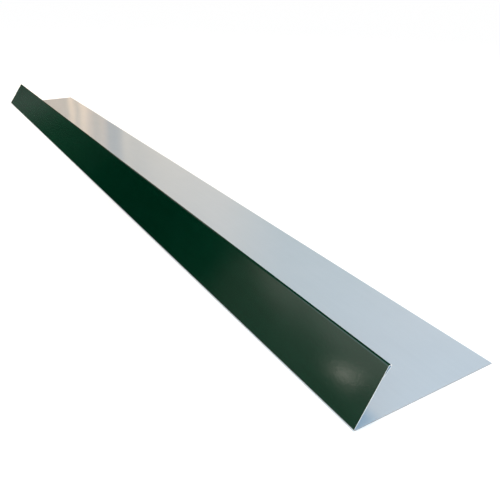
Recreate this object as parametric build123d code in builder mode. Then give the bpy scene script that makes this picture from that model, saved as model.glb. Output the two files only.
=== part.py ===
"""Rain diverter flashing: one strip of pre-painted steel sheet, folded into a flat flange and a leaning upstand.

The flange lies on the roof and is lapped by the roofing above it. The upstand leans over the flange at an acute
angle, so the two make a channel that leads rain sideways. The upstand's top edge is turned back into a teardrop
hem, which stiffens it and hides the sheared edge.

Frame: X along the strip, Y across the flange from the fold to the free edge, Z up from the flange's underside.
The origin is on the underside, in the middle of the flange's length and width.
"""

import os
from math import asin, atan2, degrees, hypot

from build123d import *

# Driving dimensions, in millimetres and degrees.
length = 1219.2  # a 4 ft piece
flange_width = 139.7  # 5 1/2 in, from the outside of the fold to the free edge
upstand_height = 50.8  # 2 in, along the leaning face, from the outside of the fold to the top of the hem
hem_return = 9.5  # 3/8 in, from the top of the hem down to the sheared edge
sheet = 0.5  # 26 gauge
fold_angle = 57.0  # between the flange and the upstand
fold_inside_radius = 0.8
hem_gap = 2.0  # clear gap across the hem's bulb
hem_tail_gap = 0.3  # clear gap between the hem's sheared edge and the back of the upstand

# The painted face is the outside of every bend.
fold_radius = fold_inside_radius + sheet
hem_radius = hem_gap / 2 + sheet
fold_turn = 180 - fold_angle

# The hem is a teardrop: it turns on past half a turn until its tail all but closes on the upstand.
hem_inside = hem_gap / 2
hem_run = hem_return - hem_radius
hem_closing = asin((hem_inside - hem_tail_gap) / hypot(hem_inside, hem_run))
hem_turn = 180 + degrees(atan2(hem_inside, hem_run) + hem_closing)

with BuildPart() as diverter:
    with BuildSketch(Plane.YZ) as section:
        with BuildLine() as strip:
            # The painted face, from the flange's free edge round to the hem's sheared edge.
            flange = Line((flange_width / 2, 0), (fold_radius - flange_width / 2, 0))
            fold = JernArc(flange @ 1, flange % 1, fold_radius, -fold_turn)
            upstand = PolarLine(fold @ 1, upstand_height - fold_radius - hem_radius, direction=fold % 1)
            hem = JernArc(upstand @ 1, upstand % 1, hem_radius, -hem_turn)
            PolarLine(hem @ 1, hem_run, direction=hem % 1)
            # The back of the sheet, one thickness inside the painted face.
            offset(amount=sheet, side=Side.RIGHT)
        make_face()
    extrude(amount=length / 2, both=True)
diverter.part.label = "rain_diverter"

os.makedirs("parts", exist_ok=True)
export_step(diverter.part, "parts/rain_diverter.step")
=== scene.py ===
"""Rain diverter flashing: the folded strip, its finishes, the floor, the lights and the camera.

The strip is built again here as a fine mesh, so that its bends are smooth and its long flats can be very
slightly wavy, as thin sheet is. Lengths are in metres. X runs along the strip, Y across the flange, Z up.
"""

import math

import bpy
import numpy as np
from mathutils import Matrix, Vector


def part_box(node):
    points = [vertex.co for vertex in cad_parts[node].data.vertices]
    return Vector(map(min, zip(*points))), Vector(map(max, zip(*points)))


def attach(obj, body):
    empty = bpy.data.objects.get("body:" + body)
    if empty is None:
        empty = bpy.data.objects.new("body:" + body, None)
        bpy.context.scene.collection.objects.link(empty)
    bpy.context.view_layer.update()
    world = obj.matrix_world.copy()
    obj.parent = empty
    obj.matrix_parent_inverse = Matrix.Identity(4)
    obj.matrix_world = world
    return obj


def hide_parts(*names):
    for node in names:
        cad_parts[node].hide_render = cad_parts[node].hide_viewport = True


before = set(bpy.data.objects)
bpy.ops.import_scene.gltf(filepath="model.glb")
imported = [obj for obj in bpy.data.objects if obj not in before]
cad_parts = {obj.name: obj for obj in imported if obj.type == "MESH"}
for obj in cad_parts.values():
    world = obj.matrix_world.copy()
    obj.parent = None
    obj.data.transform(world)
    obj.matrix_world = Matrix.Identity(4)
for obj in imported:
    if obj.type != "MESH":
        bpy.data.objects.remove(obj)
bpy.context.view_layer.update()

# The sheet and its bends, as the solid has them.
NODE = "rain_diverter"
sheet = 0.0005
fold_radius = 0.0013
hem_radius = 0.0015
hem_return = 0.0095
hem_tail_gap = 0.0003
fold_angle = math.radians(57)

# Sizes that the CAD part's box in model.glb gives.
node_low, node_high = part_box(NODE)
half_length = (node_high.x - node_low.x) / 2
fold_edge = node_low.y
free_edge = node_high.y
flange_width = free_edge - fold_edge
top = node_high.z

# The straight part of the upstand is what is left of the height between the two bends.
fold_lean = math.cos(fold_angle)
fold_rise = math.sin(fold_angle)
upstand_run = (top - hem_radius - fold_radius - (fold_radius - hem_radius) * fold_lean) / fold_rise

# The hem turns on past half a turn until its tail all but closes on the upstand.
hem_inside = hem_radius - sheet
hem_run = hem_return - hem_radius
hem_closing = math.asin((hem_inside - hem_tail_gap) / math.hypot(hem_inside, hem_run))
hem_turn = math.pi + math.atan2(hem_inside, hem_run) + hem_closing

# Below the hem the sheet starts to bend on a larger radius, as it does where the folder lets go of it.
lead_radius = 0.005
lead_turn = math.radians(8)
upstand_flat = upstand_run - (lead_radius - hem_radius) * math.sin(lead_turn)

# How far a folded strip strays from true: the fold opens a little towards +X, the flange's free edge lifts
# off the floor towards -X, and the flats are a little wavy.
fold_spread = math.radians(3.4)
flange_lift = 0.0011
flange_wave = {"depth": 0.0003, "long_wave": 0.47, "short_wave": 0.21, "short_share": 0.38, "phase": 0.8}
upstand_wave = {"depth": 0.00012, "long_wave": 0.26, "short_wave": 0.09, "short_share": 0.6, "phase": 2.5}
short_phase = 2.3

# Mesh steps along the strip and across its girth.
length_steps = 200
flange_steps = 22
fold_steps = 16
upstand_steps = 12
lead_steps = 5
hem_steps = 22
tail_steps = 3
bend_margin = 0.0004
sharp_edge = math.radians(40)


def flat_steps(run, steps):
    """Distances along a flat run. Its short first and last steps keep the bends' shading in the bends."""
    inner = np.linspace(bend_margin, run - bend_margin, steps - 1)
    return np.concatenate([[0.0], inner, [run]])


def section(angle, inset):
    """Points (y, z) of one face of the sheet, from the flange's free edge round to the hem's sheared edge.

    An inset of zero is the painted outside of the bends, and an inset of one sheet thickness is the back.
    The second result is the upstand's outward direction.
    """
    turn = math.pi - angle
    out = np.array([-math.sin(angle), math.cos(angle)])
    along = np.array([math.cos(angle), math.sin(angle)])
    fold_centre = np.array([fold_edge + fold_radius, fold_radius])
    lead_centre = fold_centre + (fold_radius - lead_radius) * out + upstand_flat * along
    lead_end = math.cos(lead_turn) * out + math.sin(lead_turn) * along
    hem_centre = lead_centre + (lead_radius - hem_radius) * lead_end

    flange_run = free_edge - fold_centre[0]
    flange = [(free_edge - run, inset) for run in flat_steps(flange_run, flange_steps)]
    radius = fold_radius - inset
    fold = [fold_centre - radius * np.array([math.sin(a), math.cos(a)])
            for a in np.linspace(0, turn, fold_steps + 1)[1:]]
    upstand = [fold_centre + radius * out + run * along
               for run in flat_steps(upstand_flat, upstand_steps)[1:]]
    radius = lead_radius - inset
    lead = [lead_centre + radius * (math.cos(a) * out + math.sin(a) * along)
            for a in np.linspace(0, lead_turn, lead_steps + 1)[1:]]
    radius = hem_radius - inset
    hem = [hem_centre + radius * (math.cos(a) * out + math.sin(a) * along)
           for a in np.linspace(lead_turn, hem_turn, hem_steps + 1)[1:]]
    down = math.cos(hem_turn) * along - math.sin(hem_turn) * out
    tail = [hem[-1] + run * down for run in flat_steps(hem_run, tail_steps)[1:]]
    return np.array([*flange, *fold, *upstand, *lead, *hem, *tail]), out


def wave(x, depth, long_wave, short_wave, short_share, phase):
    """Height of a slow wave along the strip, made of a long and a short one."""
    slow = math.sin(2 * math.pi * x / long_wave + phase)
    quick = math.sin(2 * math.pi * x / short_wave + short_phase * phase)
    return depth * ((1 - short_share) * slow + short_share * quick)


def strip_faces():
    """Vertices of the painted face and of the back, each as a grid of stations along the strip."""
    stations = np.linspace(-half_length, half_length, length_steps + 1)
    first_upstand = flange_steps + fold_steps + 1
    last_upstand = first_upstand + upstand_steps
    up = flat_steps(upstand_flat, upstand_steps)[1:] / upstand_flat
    grids = []
    for inset in (0.0, sheet):
        rows = []
        for x in stations:
            points, out = section(fold_angle + fold_spread * x / half_length, inset)
            across = (points[:flange_steps + 1, 0] - fold_edge) / flange_width
            far = 0.5 - 0.5 * math.sin(math.pi / 2 * x / half_length)
            near = 1 - far
            lift = far * (flange_lift + wave(x, **flange_wave))
            points[:flange_steps + 1, 1] += lift * across ** 2
            bulge = near * wave(x, **upstand_wave) * np.sin(math.pi * up)
            points[first_upstand:last_upstand] += bulge[:, None] * out
            rows.append(np.column_stack([np.full(len(points), x), points]))
        grids.append(np.array(rows))
    return grids


def grid_quads(start, rows, columns, flip):
    """Quads of a grid of vertices numbered row by row from start."""
    quads = []
    for row in range(rows - 1):
        for column in range(columns - 1):
            a = start + row * columns + column
            quad = (a, a + columns, a + columns + 1, a + 1)
            quads.append(quad[::-1] if flip else quad)
    return quads


def make_strip(materials):
    """The folded strip as one closed mesh, with its painted face, its back and its sheared edges."""
    painted, back = strip_faces()
    rows, columns = painted.shape[:2]
    count = rows * columns
    vertices = np.concatenate([painted.reshape(-1, 3), back.reshape(-1, 3)])

    painted_quads = grid_quads(0, rows, columns, flip=True)
    back_quads = grid_quads(count, rows, columns, flip=False)
    edge_quads = []
    for row in range(rows - 1):
        a = row * columns
        edge_quads.append((a, a + columns, a + columns + count, a + count))
        b = a + columns - 1
        edge_quads.append((b, b + count, b + columns + count, b + columns))
    for column in range(columns - 1):
        a = column
        edge_quads.append((a, a + count, a + count + 1, a + 1))
        b = (rows - 1) * columns + column
        edge_quads.append((b, b + 1, b + 1 + count, b + count))
    quads = painted_quads + back_quads + edge_quads

    mesh = bpy.data.meshes.new("folded_strip")
    mesh.from_pydata(vertices.tolist(), [], quads)
    for material in materials:
        mesh.materials.append(material)
    slots = [0] * len(painted_quads) + [1] * len(back_quads) + [2] * len(edge_quads)
    mesh.polygons.foreach_set("material_index", slots)

    mesh.shade_smooth()
    mesh.set_sharp_from_angle(angle=sharp_edge)
    mesh.validate()
    strip = bpy.data.objects.new("folded_strip", mesh)
    bpy.context.scene.collection.objects.link(strip)
    return strip


class Nodes:
    """A small helper that adds shader nodes and joins them."""

    def __init__(self, tree):
        self.tree = tree
        tree.nodes.clear()

    def add(self, kind, values=None, **settings):
        node = self.tree.nodes.new(kind)
        for name, value in settings.items():
            setattr(node, name, value)
        for name, value in (values or {}).items():
            self.feed(node.inputs[name], value)
        return node

    def feed(self, socket, value):
        """Joins another node's output to a socket, or sets the socket to a plain value."""
        if isinstance(value, bpy.types.NodeSocket):
            self.tree.links.new(value, socket)
        else:
            socket.default_value = value

    def place(self, stretch=(1, 1, 1)):
        """Object coordinates in metres, each times its stretch."""
        coordinates = self.add("ShaderNodeTexCoord").outputs["Object"]
        mapping = self.add("ShaderNodeMapping", {"Vector": coordinates, "Scale": stretch})
        return mapping.outputs["Vector"]

    def noise(self, place, scale, detail=2):
        values = {"Vector": place, "Scale": scale, "Detail": detail}
        return self.add("ShaderNodeTexNoise", values).outputs["Fac"]

    def span(self, value, low, high, to_low, to_high):
        """The value moved from the range low to high into the range to_low to to_high."""
        values = {"Value": value, "From Min": low, "From Max": high, "To Min": to_low, "To Max": to_high}
        return self.add("ShaderNodeMapRange", values).outputs["Result"]

    def mix(self, factor, first, second):
        """A colour that goes from the first to the second as the factor goes from 0 to 1."""
        node = self.add("ShaderNodeMix", {"Factor": factor}, data_type="RGBA")
        colours = [socket for socket in node.inputs if socket.type == "RGBA"]
        self.feed(colours[0], first)
        self.feed(colours[1], second)
        return next(socket for socket in node.outputs if socket.type == "RGBA")

    def bump(self, noise, height, normal):
        """A normal tilted by a noise as high as height, on top of another normal where there is one."""
        values = {"Height": noise, "Strength": 1.0, "Distance": height}
        if normal is not None:
            values["Normal"] = normal
        return self.add("ShaderNodeBump", values).outputs["Normal"]

    def finish(self, shader, output="ShaderNodeOutputMaterial"):
        self.add(output, {"Surface": shader})


def new_material(name):
    material = bpy.data.materials.new(name)
    material.use_nodes = True
    return material, Nodes(material.node_tree)


# Where nearly all values of one noise lie, and of two noises added.
noise_range = (0.3, 0.7)
tone_range = (0.7, 1.3)
coat_ior = 1.5
# The sheared edge's painted shade near the floor fades out between these heights.
ground_shade_heights = (0.0008, 0.003)


def coat(name, dark, light, roughness, mottle, streak, drawn, bumps):
    """A coil coat. Its tone varies slowly, and in streaks that are drawn out along the strip.

    The mottle and the streak are scales of noise, and the bumps are triples of scale, detail and height.
    """
    material, nodes = new_material(name)
    place = nodes.place()
    slow = nodes.noise(place, mottle, detail=3)
    streaks = nodes.noise(nodes.place((drawn, 1, 1)), streak)
    tone = nodes.add("ShaderNodeMath", {0: slow, 1: streaks}, operation="ADD").outputs[0]
    normal = None
    for scale, detail, height in bumps:
        normal = nodes.bump(nodes.noise(place, scale, detail), height, normal)
    values = {
        "Base Color": nodes.mix(nodes.span(tone, *tone_range, 0, 1), dark, light),
        "Roughness": nodes.span(slow, *noise_range, *roughness),
        "IOR": coat_ior,
        "Normal": normal,
    }
    nodes.finish(nodes.add("ShaderNodeBsdfPrincipled", values).outputs["BSDF"])
    return material


def topcoat():
    """Dark green coat on the outside of the bends: satin, with fine orange peel."""
    return coat("green_topcoat", dark=(0.0002, 0.0208, 0.0084, 1), light=(0.0005, 0.0245, 0.0105, 1),
                roughness=(0.08, 0.1), mottle=45, streak=260, drawn=0.06,
                bumps=[(620, 2, 0.000021), (2600, 1, 0.000002)])


def back_coat():
    """Pale blue-grey backing coat: thin and even."""
    return coat("pale_back_coat", dark=(0.504, 0.555, 0.6, 1), light=(0.519, 0.569, 0.614, 1),
                roughness=(0.09, 0.11), mottle=30, streak=300, drawn=0.05,
                bumps=[(500, 2, 0.000001)])


def sheared_edge():
    """Bare edge left by the shear: bright zinc dragged over steel, darkened near the ground as painted
    shade.
    """
    material, nodes = new_material("sheared_edge")
    place = nodes.place()
    drag = nodes.noise(place, scale=1800)
    bright = nodes.mix(drag, (0.72, 0.72, 0.71, 1), (0.95, 0.95, 0.95, 1))
    # Painted shade: a darker metal colour for the edge within a few millimetres of the floor.
    shaded_near_ground = nodes.mix(drag, (0.3, 0.28, 0.26, 1), (0.5, 0.47, 0.44, 1))
    height = nodes.add("ShaderNodeSeparateXYZ", {"Vector": place}).outputs["Z"]
    values = {
        "Base Color": nodes.mix(nodes.span(height, *ground_shade_heights, 0, 1), shaded_near_ground, bright),
        "Metallic": 1.0,
        "Roughness": nodes.span(drag, *noise_range, 0.3, 0.5),
    }
    nodes.finish(nodes.add("ShaderNodeBsdfPrincipled", values).outputs["BSDF"])
    return material


# The light on the floor comes partly from a soft lamp overhead and partly from an even sky.
light_level = (0.868, 0.885, 0.895)
overhead_light = (0.4, 0.275, 0.175)
sky_light = tuple(level - overhead for level, overhead in zip(light_level, overhead_light))
white = (1, 1, 1, 1)
floor_colour = 0.8
floor_size = 80.0
floor_drop = 0.0002


def seen_directly(nodes):
    """One for rays that show the background: from the camera, a reflection or through glass."""
    path = nodes.add("ShaderNodeLightPath")
    seen = path.outputs["Is Camera Ray"]
    for name in ("Is Glossy Ray", "Is Transmission Ray"):
        either = nodes.add("ShaderNodeMath", {0: seen, 1: path.outputs[name]}, operation="MAXIMUM")
        seen = either.outputs[0]
    return seen


def rectangle(name, left, right, front, back, height, material):
    """A flat rectangle at one height."""
    mesh = bpy.data.meshes.new(name)
    corners = [(left, front), (right, front), (right, back), (left, back)]
    mesh.from_pydata([(x, y, height) for x, y in corners], [], [(0, 1, 2, 3)])
    mesh.materials.append(material)
    return bpy.data.objects.new(name, mesh)


def make_floor():
    """White floor that keeps the object's shadow. Where it is seen, it is filled up to full white."""
    material, nodes = new_material("white_floor")
    grey = (floor_colour, floor_colour, floor_colour, 1)
    missing = tuple(1 - floor_colour * level for level in light_level)
    plain = nodes.add("ShaderNodeBsdfDiffuse", {"Color": grey}).outputs["BSDF"]
    fill = nodes.add("ShaderNodeEmission", {"Color": (*missing, 1)}).outputs["Emission"]
    lifted = nodes.add("ShaderNodeAddShader", {0: plain, 1: fill}).outputs["Shader"]
    shown = nodes.add("ShaderNodeMixShader", {0: seen_directly(nodes), 1: plain, 2: lifted})
    nodes.finish(shown.outputs["Shader"])
    reach = floor_size / 2
    floor = rectangle("floor", -reach, reach, -reach, reach, -floor_drop, material)
    bpy.context.scene.collection.objects.link(floor)


def make_sky():
    """Surroundings that are white where they are seen, and light the object as the sky."""
    world = bpy.data.worlds.new("studio")
    bpy.context.scene.world = world
    world.use_nodes = True
    nodes = Nodes(world.node_tree)
    colour = nodes.mix(seen_directly(nodes), (*sky_light, 1), white)
    background = nodes.add("ShaderNodeBackground", {"Color": colour})
    nodes.finish(background.outputs["Background"], "ShaderNodeOutputWorld")


def direction(azimuth, elevation):
    """Unit vector at an azimuth from -X, positive towards -Y, and an elevation, both in degrees."""
    a = math.radians(azimuth)
    e = math.radians(elevation)
    return Vector((-math.cos(a) * math.cos(e), -math.sin(a) * math.cos(e), math.sin(e)))


# The cards stand round the object at this distance, and the plain dark ones behind the others.
card_distance = 20.0
card_steps = 16
dark_level = 0.012

# The dark card on the floor ends just short of the fold.
floor_card_level = 0.03
floor_card_reach = 4.0
floor_card_past = 0.3
floor_card_gap = 0.004


def ramp(nodes, value, stops):
    """Colour that follows stops of (position, colour or grey level)."""
    low = stops[0][0]
    high = stops[-1][0]
    node = nodes.add("ShaderNodeValToRGB", {"Fac": nodes.span(value, low, high, 0, 1)})
    elements = node.color_ramp.elements
    while len(elements) < len(stops):
        elements.new(1.0)
    for element, (position, level) in zip(elements, stops):
        element.position = (position - low) / (high - low)
        colour = level if isinstance(level, tuple) else (level,) * 3
        element.color = (*colour, 1)
    return node.outputs["Color"]


def only_in_gloss(card):
    """Hides a card from all but reflections, so that it shapes the gloss and not the light."""
    bpy.context.scene.collection.objects.link(card)
    card.visible_camera = False
    card.visible_diffuse = False
    card.visible_shadow = False


def make_card(name, azimuths, elevations, level=1.0, across=None, upward=None, distance=card_distance):
    """A curved card round the object. Its colour may change across it, and its level may change up it."""
    sides = np.linspace(*azimuths, card_steps + 1)
    heights = np.linspace(*elevations, card_steps + 1)
    angles = [(a, e) for e in heights for a in sides]
    quads = grid_quads(0, len(heights), len(sides), flip=False)
    mesh = bpy.data.meshes.new(name)
    mesh.from_pydata([distance * direction(a, e) for a, e in angles], [], quads)
    corner = np.array([loop.vertex_index for loop in mesh.loops])
    mesh.uv_layers.new(name="angles").data.foreach_set("uv", np.array(angles)[corner].ravel())

    material, nodes = new_material(name)
    place = nodes.add("ShaderNodeUVMap", uv_map="angles").outputs["UV"]
    parts = nodes.add("ShaderNodeSeparateXYZ", {"Vector": place})
    values = {"Strength": level}
    if across:
        values["Color"] = ramp(nodes, parts.outputs["X"], across)
    if upward:
        fade = nodes.add("ShaderNodeRGBToBW", {"Color": ramp(nodes, parts.outputs["Y"], upward)})
        values["Strength"] = nodes.span(fade.outputs["Val"], 0, 1, 0, level)
    nodes.finish(nodes.add("ShaderNodeEmission", values).outputs["Emission"])
    mesh.materials.append(material)
    only_in_gloss(bpy.data.objects.new(name, mesh))


def make_floor_card():
    """A dark card on the floor before the fold, so that the dark face doesn't mirror the white floor."""
    material, nodes = new_material("floor_card")
    nodes.finish(nodes.add("ShaderNodeEmission", {"Strength": floor_card_level}).outputs["Emission"])
    card = rectangle("floor_card", -floor_card_reach, half_length + floor_card_past,
                     fold_edge - floor_card_reach, fold_edge - floor_card_gap, -floor_drop / 2, material)
    only_in_gloss(card)


def make_window():
    """The window and its sill, which the near end of the painted face mirrors."""
    sun = (1.0, 0.98, 0.92)
    low_sun = (0.82, 0.8, 0.73)
    half_sun = (0.63, 0.61, 0.53)
    sill = [(22, 0.0), (33.5, 0.0), (36, 0.02), (38.8, 0.09),
            (41.5, half_sun), (44.2, low_sun), (51, sun), (72, sun)]
    sill_upward = [(0, 0.1), (2.3, 0.14), (6.3, 0.19), (8.6, 0.26), (10.05, 0.5), (11.5, 0.9), (17, 1.0)]
    make_card("window_sill", (22, 72), (0, 17), level=1.3, across=sill, upward=sill_upward)
    cool = (0.78, 0.94, 1.0)
    pane = [(40, 0.0), (43, cool), (62, cool), (66, 0.2)]
    make_card("window", (40, 66), (17, 46), level=2.4, across=pane)


def make_end_glow():
    """A faint glow past the far end, which the far half of the painted face mirrors."""
    glow = [(10, 0.07), (12, 0.135), (12.8, 0.155), (14, 0.085),
            (15, 0.05), (16.2, 0.025), (18, 0.02), (21, 0.01)]
    glow_upward = [(0, 0.5), (5, 1.0), (12, 1.0), (15, 0.2)]
    make_card("end_glow", (10, 21), (0, 15), across=glow, upward=glow_upward)


def make_back_wall():
    """The warm striped wall past the far end, which the flange mirrors."""
    beige = (0.52, 0.33, 0.18)
    peach = (1.25, 0.84, 0.48)
    stone = (0.3, 0.21, 0.1)
    blue = (0.02, 0.04, 0.07)
    pink = (0.64, 0.4, 0.22)
    pale = (0.46, 0.37, 0.26)
    cream = (0.76, 0.6, 0.42)
    grey = (0.3, 0.29, 0.28)
    teal = (0.0, 0.17, 0.21)
    wall = [(-75, grey), (-52, grey), (-44, teal), (-36, teal), (-29, cream), (-22, cream),
            (-19, pale), (-17.95, cream), (-17.65, blue), (-16.35, blue), (-16.05, pink), (-15.75, pink),
            (-15.45, stone), (-15.1, stone), (-14.8, pink), (-14.5, pink), (-14.15, peach), (-13.75, peach),
            (-13.6, stone), (-13.25, stone), (-13.15, peach), (-12.8, peach), (-12.6, stone),
            (-12.1, beige), (-9, beige)]
    make_card("back_wall", (-75, -9), (0, 34), across=wall)


def make_cards():
    """What the gloss shows: a dark room, a window before the painted face and a wall past the far end."""
    make_card("dark_card", (-75, 75), (0, 82), level=dark_level, distance=card_distance + 1)
    make_card("ceiling", (-180, 180), (45, 89), level=dark_level, distance=card_distance + 2)
    make_window()
    make_end_glow()
    make_card("skylight", (-14, 6), (22, 36), level=2.0)
    make_back_wall()


# A sun of this power overhead lights the floor as much as a sky of strength one does.
sun_power = math.pi
sun_distance = 6.0
sun_angle = math.radians(17)

# The spots stand low before the painted face, and the glints far off.
spot_elevation = 14
spot_distance = 1.4
spot_colour = (1.0, 0.97, 0.9)
spot_softness = 0.15
glint_distance = 8.0
glint_colour = (1.0, 0.95, 0.84)


def make_lamp(name, kind, azimuth, elevation, distance, power, colour, aim):
    """A lamp at a direction and distance from the point it is aimed at. Reflections don't show it."""
    light = bpy.data.lights.new(name, kind)
    light.energy = power
    light.color = colour
    lamp = bpy.data.objects.new(name, light)
    bpy.context.scene.collection.objects.link(lamp)
    lamp.location = Vector(aim) + distance * direction(azimuth, elevation)
    lamp.rotation_euler = (Vector(aim) - lamp.location).to_track_quat("-Z", "Y").to_euler()
    lamp.visible_camera = False
    lamp.visible_glossy = False
    return lamp


def make_overhead(azimuth, elevation):
    """A soft lamp overhead, the same all along the strip. It casts the upstand's shade on the flange."""
    middle = (0, 0, 0)
    lamp = make_lamp("overhead", "SUN", azimuth, elevation, sun_distance, sun_power, overhead_light, middle)
    lamp.data.angle = sun_angle


def make_softbox(name, azimuth, elevation, distance, size, power, colour, aim):
    """A round soft lamp."""
    lamp = make_lamp(name, "AREA", azimuth, elevation, distance, power, colour, aim)
    lamp.data.shape = "DISK"
    lamp.data.size = size


def make_spot(name, azimuth, cone, power, aim):
    """A soft round pool of light on the painted face."""
    lamp = make_lamp(name, "SPOT", azimuth, spot_elevation, spot_distance, power, spot_colour, aim)
    lamp.data.spot_size = math.radians(cone)
    lamp.data.spot_blend = 1.0
    lamp.data.shadow_soft_size = spot_softness


def make_glint(name, azimuth, elevation, power, size, aim):
    """A small far lamp that the gloss does show."""
    lamp = make_lamp(name, "AREA", azimuth, elevation, glint_distance, power, glint_colour, aim)
    lamp.data.shape = "ELLIPSE"
    lamp.data.size, lamp.data.size_y = size
    lamp.visible_glossy = True


def make_lamps():
    near_end = (half_length, 0, 0)
    near_fold = (half_length, fold_edge + 0.03, 0)
    far_flange = (-0.3, 0, 0)
    near_face = (half_length - 0.03, fold_edge, 0.02)
    far_face = (0.2 - half_length, fold_edge, 0.02)
    make_overhead(azimuth=-80, elevation=81)
    make_softbox("cool_softbox", azimuth=176, elevation=46, distance=0.6, size=0.4,
                 power=1.75, colour=(0.45, 0.74, 1.0), aim=near_fold)
    make_softbox("warm_softbox", azimuth=-60, elevation=60, distance=1.2, size=0.8,
                 power=5.0, colour=(1.0, 0.7, 0.38), aim=far_flange)
    make_spot("near_spot", azimuth=64, cone=22, power=34.0, aim=near_face)
    make_spot("far_spot", azimuth=80, cone=40, power=80.0, aim=far_face)
    make_glint("glint", azimuth=55.2, elevation=9.1, power=0.62, size=(0.46, 0.06), aim=near_end)
    make_glint("glint_halo", azimuth=54.4, elevation=8.6, power=0.2, size=(0.86, 0.3), aim=near_end)


# The camera, as fitted to the photo. The focal length is a share of the picture's width.
camera_place = Vector((half_length + 0.19427, fold_edge - 0.20037, 0.26521))
camera_view = Vector((-0.76511, 0.46851, -0.44171))
camera_roll = math.radians(0.555)
focal_share = 547.6 / 500
sensor = 36.0


def make_camera():
    data = bpy.data.cameras.new("camera")
    data.sensor_fit = "HORIZONTAL"
    data.sensor_width = sensor
    data.lens = sensor * focal_share
    camera = bpy.data.objects.new("camera", data)
    bpy.context.scene.collection.objects.link(camera)
    turn = camera_view.to_track_quat("-Z", "Y").to_matrix().to_4x4()
    camera.matrix_world = Matrix.Translation(camera_place) @ turn @ Matrix.Rotation(camera_roll, 4, "Z")
    bpy.context.scene.camera = camera


strip = make_strip([topcoat(), back_coat(), sheared_edge()])
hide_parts(NODE)
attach(strip, "root")
make_floor()
make_sky()
make_cards()
make_floor_card()
make_lamps()
make_camera()
bpy.context.scene.view_settings.view_transform = "Standard"
